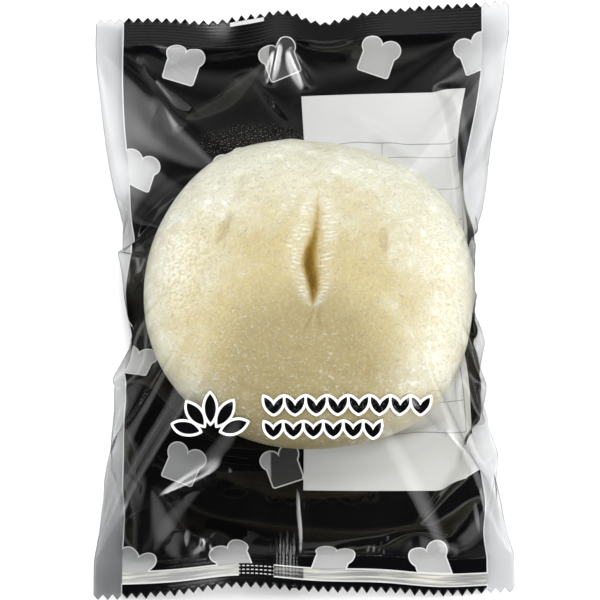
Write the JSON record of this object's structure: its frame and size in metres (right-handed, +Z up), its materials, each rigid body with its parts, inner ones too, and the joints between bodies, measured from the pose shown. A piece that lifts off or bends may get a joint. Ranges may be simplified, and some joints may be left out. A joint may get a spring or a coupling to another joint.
{
  "type": "bagel in a printed clear bag",
  "caption": "Pale round bagel sealed in a clear pillow bag with a dark printed back web and zigzag ends, lying on its back.",
  "frame": {"origin": "on the table, under the middle of the bag's outline", "axes": "+X across the bag, +Y along it towards the top seal, +Z up from the table"},
  "size_m": [0.1392, 0.2148, 0.0448],
  "materials": {
    "film": "clear glossy film with a dark printed back web, bagel inside"
  },
  "bodies": {
    "root": {"bag": "film"}
  },
  "joints": []
}
